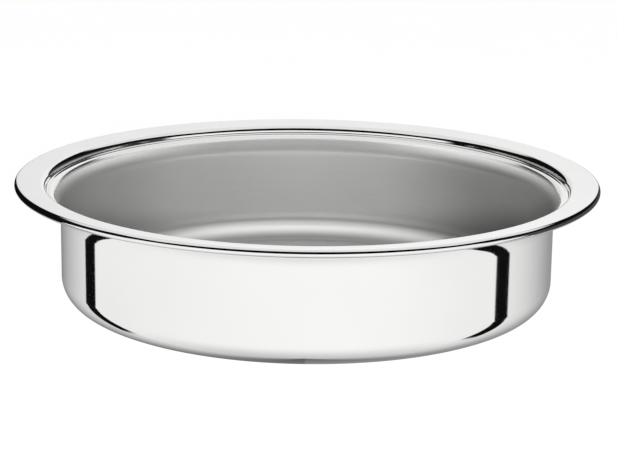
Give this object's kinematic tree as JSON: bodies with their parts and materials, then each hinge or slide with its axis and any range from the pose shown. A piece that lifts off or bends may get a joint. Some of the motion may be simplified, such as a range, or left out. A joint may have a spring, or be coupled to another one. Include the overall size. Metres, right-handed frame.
{
  "type": "chafing dish food pan",
  "caption": "Round deep-drawn steel drop-in food pan with a wide flange, a lid seat and a rolled wired rim, for a buffet chafing dish.",
  "frame": {"origin": "centre of the pan's underside, on the surface that it stands on", "axes": "+Z is the pan's axis, towards its mouth; X and Y are free, because the pan is round, and the joint of the rim wire is at +Y"},
  "size_m": [0.39, 0.39, 0.0837],
  "materials": {
    "pan_steel": "stainless steel, mirror polished outside and on the flange, fine circular brushing inside",
    "wire_steel": "bright drawn stainless wire"
  },
  "bodies": {
    "root": {"pan_shell": "pan_steel", "rim_wire": "wire_steel"}
  },
  "joints": []
}
